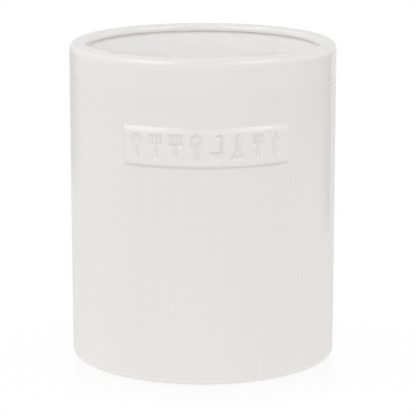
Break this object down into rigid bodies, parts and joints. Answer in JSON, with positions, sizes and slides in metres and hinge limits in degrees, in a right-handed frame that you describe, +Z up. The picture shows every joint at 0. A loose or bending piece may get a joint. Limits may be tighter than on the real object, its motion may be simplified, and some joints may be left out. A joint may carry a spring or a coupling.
{
  "type": "utensil holder",
  "caption": "Straight-sided glazed ceramic crock with a rolled rim, a fine pressed grid on the wall and a raised label plaque, open at the top to stand kitchen tools in.",
  "frame": {"origin": "middle of the foot ring's standing face, on the crock's axis", "axes": "+Z up along the crock's axis, -Y towards the label plaque, +X to the right seen from the front"},
  "size_m": [0.128, 0.1296, 0.1525],
  "materials": {
    "white_glaze": "glossy warm white glaze",
    "bare_clay": "matt fired clay, wiped clean of glaze"
  },
  "bodies": {
    "root": {"rim_collar": "white_glaze", "wall_sleeve": "white_glaze", "floor_disc": "white_glaze", "foot_ring": "bare_clay", "label_plaque": "white_glaze"}
  },
  "joints": []
}
